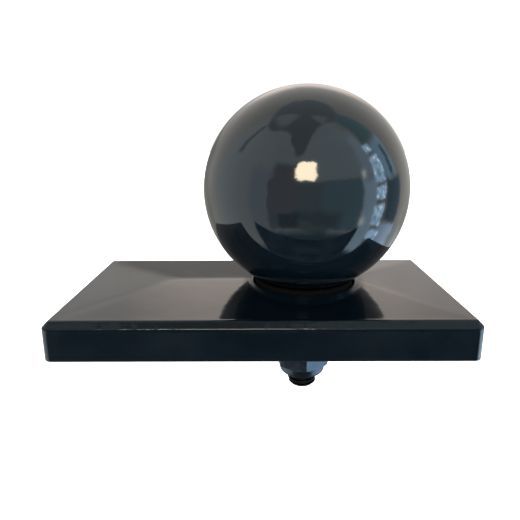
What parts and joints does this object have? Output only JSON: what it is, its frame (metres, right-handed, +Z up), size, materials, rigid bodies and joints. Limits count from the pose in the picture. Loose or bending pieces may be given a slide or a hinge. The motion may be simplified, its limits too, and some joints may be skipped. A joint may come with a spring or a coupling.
{
  "type": "fence post cap",
  "caption": "Rectangular sheet-metal fence post cap with a low hipped roof and an off-centre hollow ball finial, held by a threaded stud and a self-locking nut inside the post.",
  "frame": {"origin": "middle of the post's top end, in the plane of the flat band inside the cap that bears on the post's rim", "axes": "+Z up out of the post; +X along the cap's long side towards the ball; +Y across the cap's short side"},
  "size_m": [0.125, 0.066, 0.1025],
  "materials": {
    "anthracite_coat": "high-gloss stoved coat with slight orange peel",
    "dark_hardware": "black passivated, semi-gloss",
    "zinc": "bright zinc plate",
    "plain_steel": "bare turned steel",
    "black_rubber": "matt",
    "nylon": "satin"
  },
  "bodies": {
    "cap": {"cap_shell": "anthracite_coat", "foot_ring": "black_rubber"},
    "ball": {"ball_upper_shell": "anthracite_coat", "ball_lower_shell": "anthracite_coat", "ball_boss": "plain_steel", "stud": "dark_hardware", "cap_washer": "zinc", "spring_washer": "zinc", "jam_nut": "zinc"},
    "washer": {"lower_washer": "dark_hardware"},
    "lock_nut": {"lock_nut_body": "dark_hardware", "lock_nut_insert": "nylon"}
  },
  "joints": [
    {"name": "ball_turn", "type": "hinge", "parent": "cap", "child": "ball", "pos_m": [0.0141, 0, 0.0346], "axis": [0, 0, 1], "continuous": true},
    {"name": "lock_nut_travel", "type": "slide", "parent": "ball", "child": "washer", "axis": [0, 0, 1], "range_m": [-0.0046, 0.0073]},
    {"name": "lock_nut_turn", "type": "hinge", "parent": "washer", "child": "lock_nut", "pos_m": [0.0141, 0, -0.0251], "axis": [0, 0, 1], "range_deg": [-1080, 1728]}
  ],
  "couplings": [
    {"joint": "lock_nut_travel", "follows": "lock_nut_turn", "m_per_rad": 0.00023873}
  ]
}
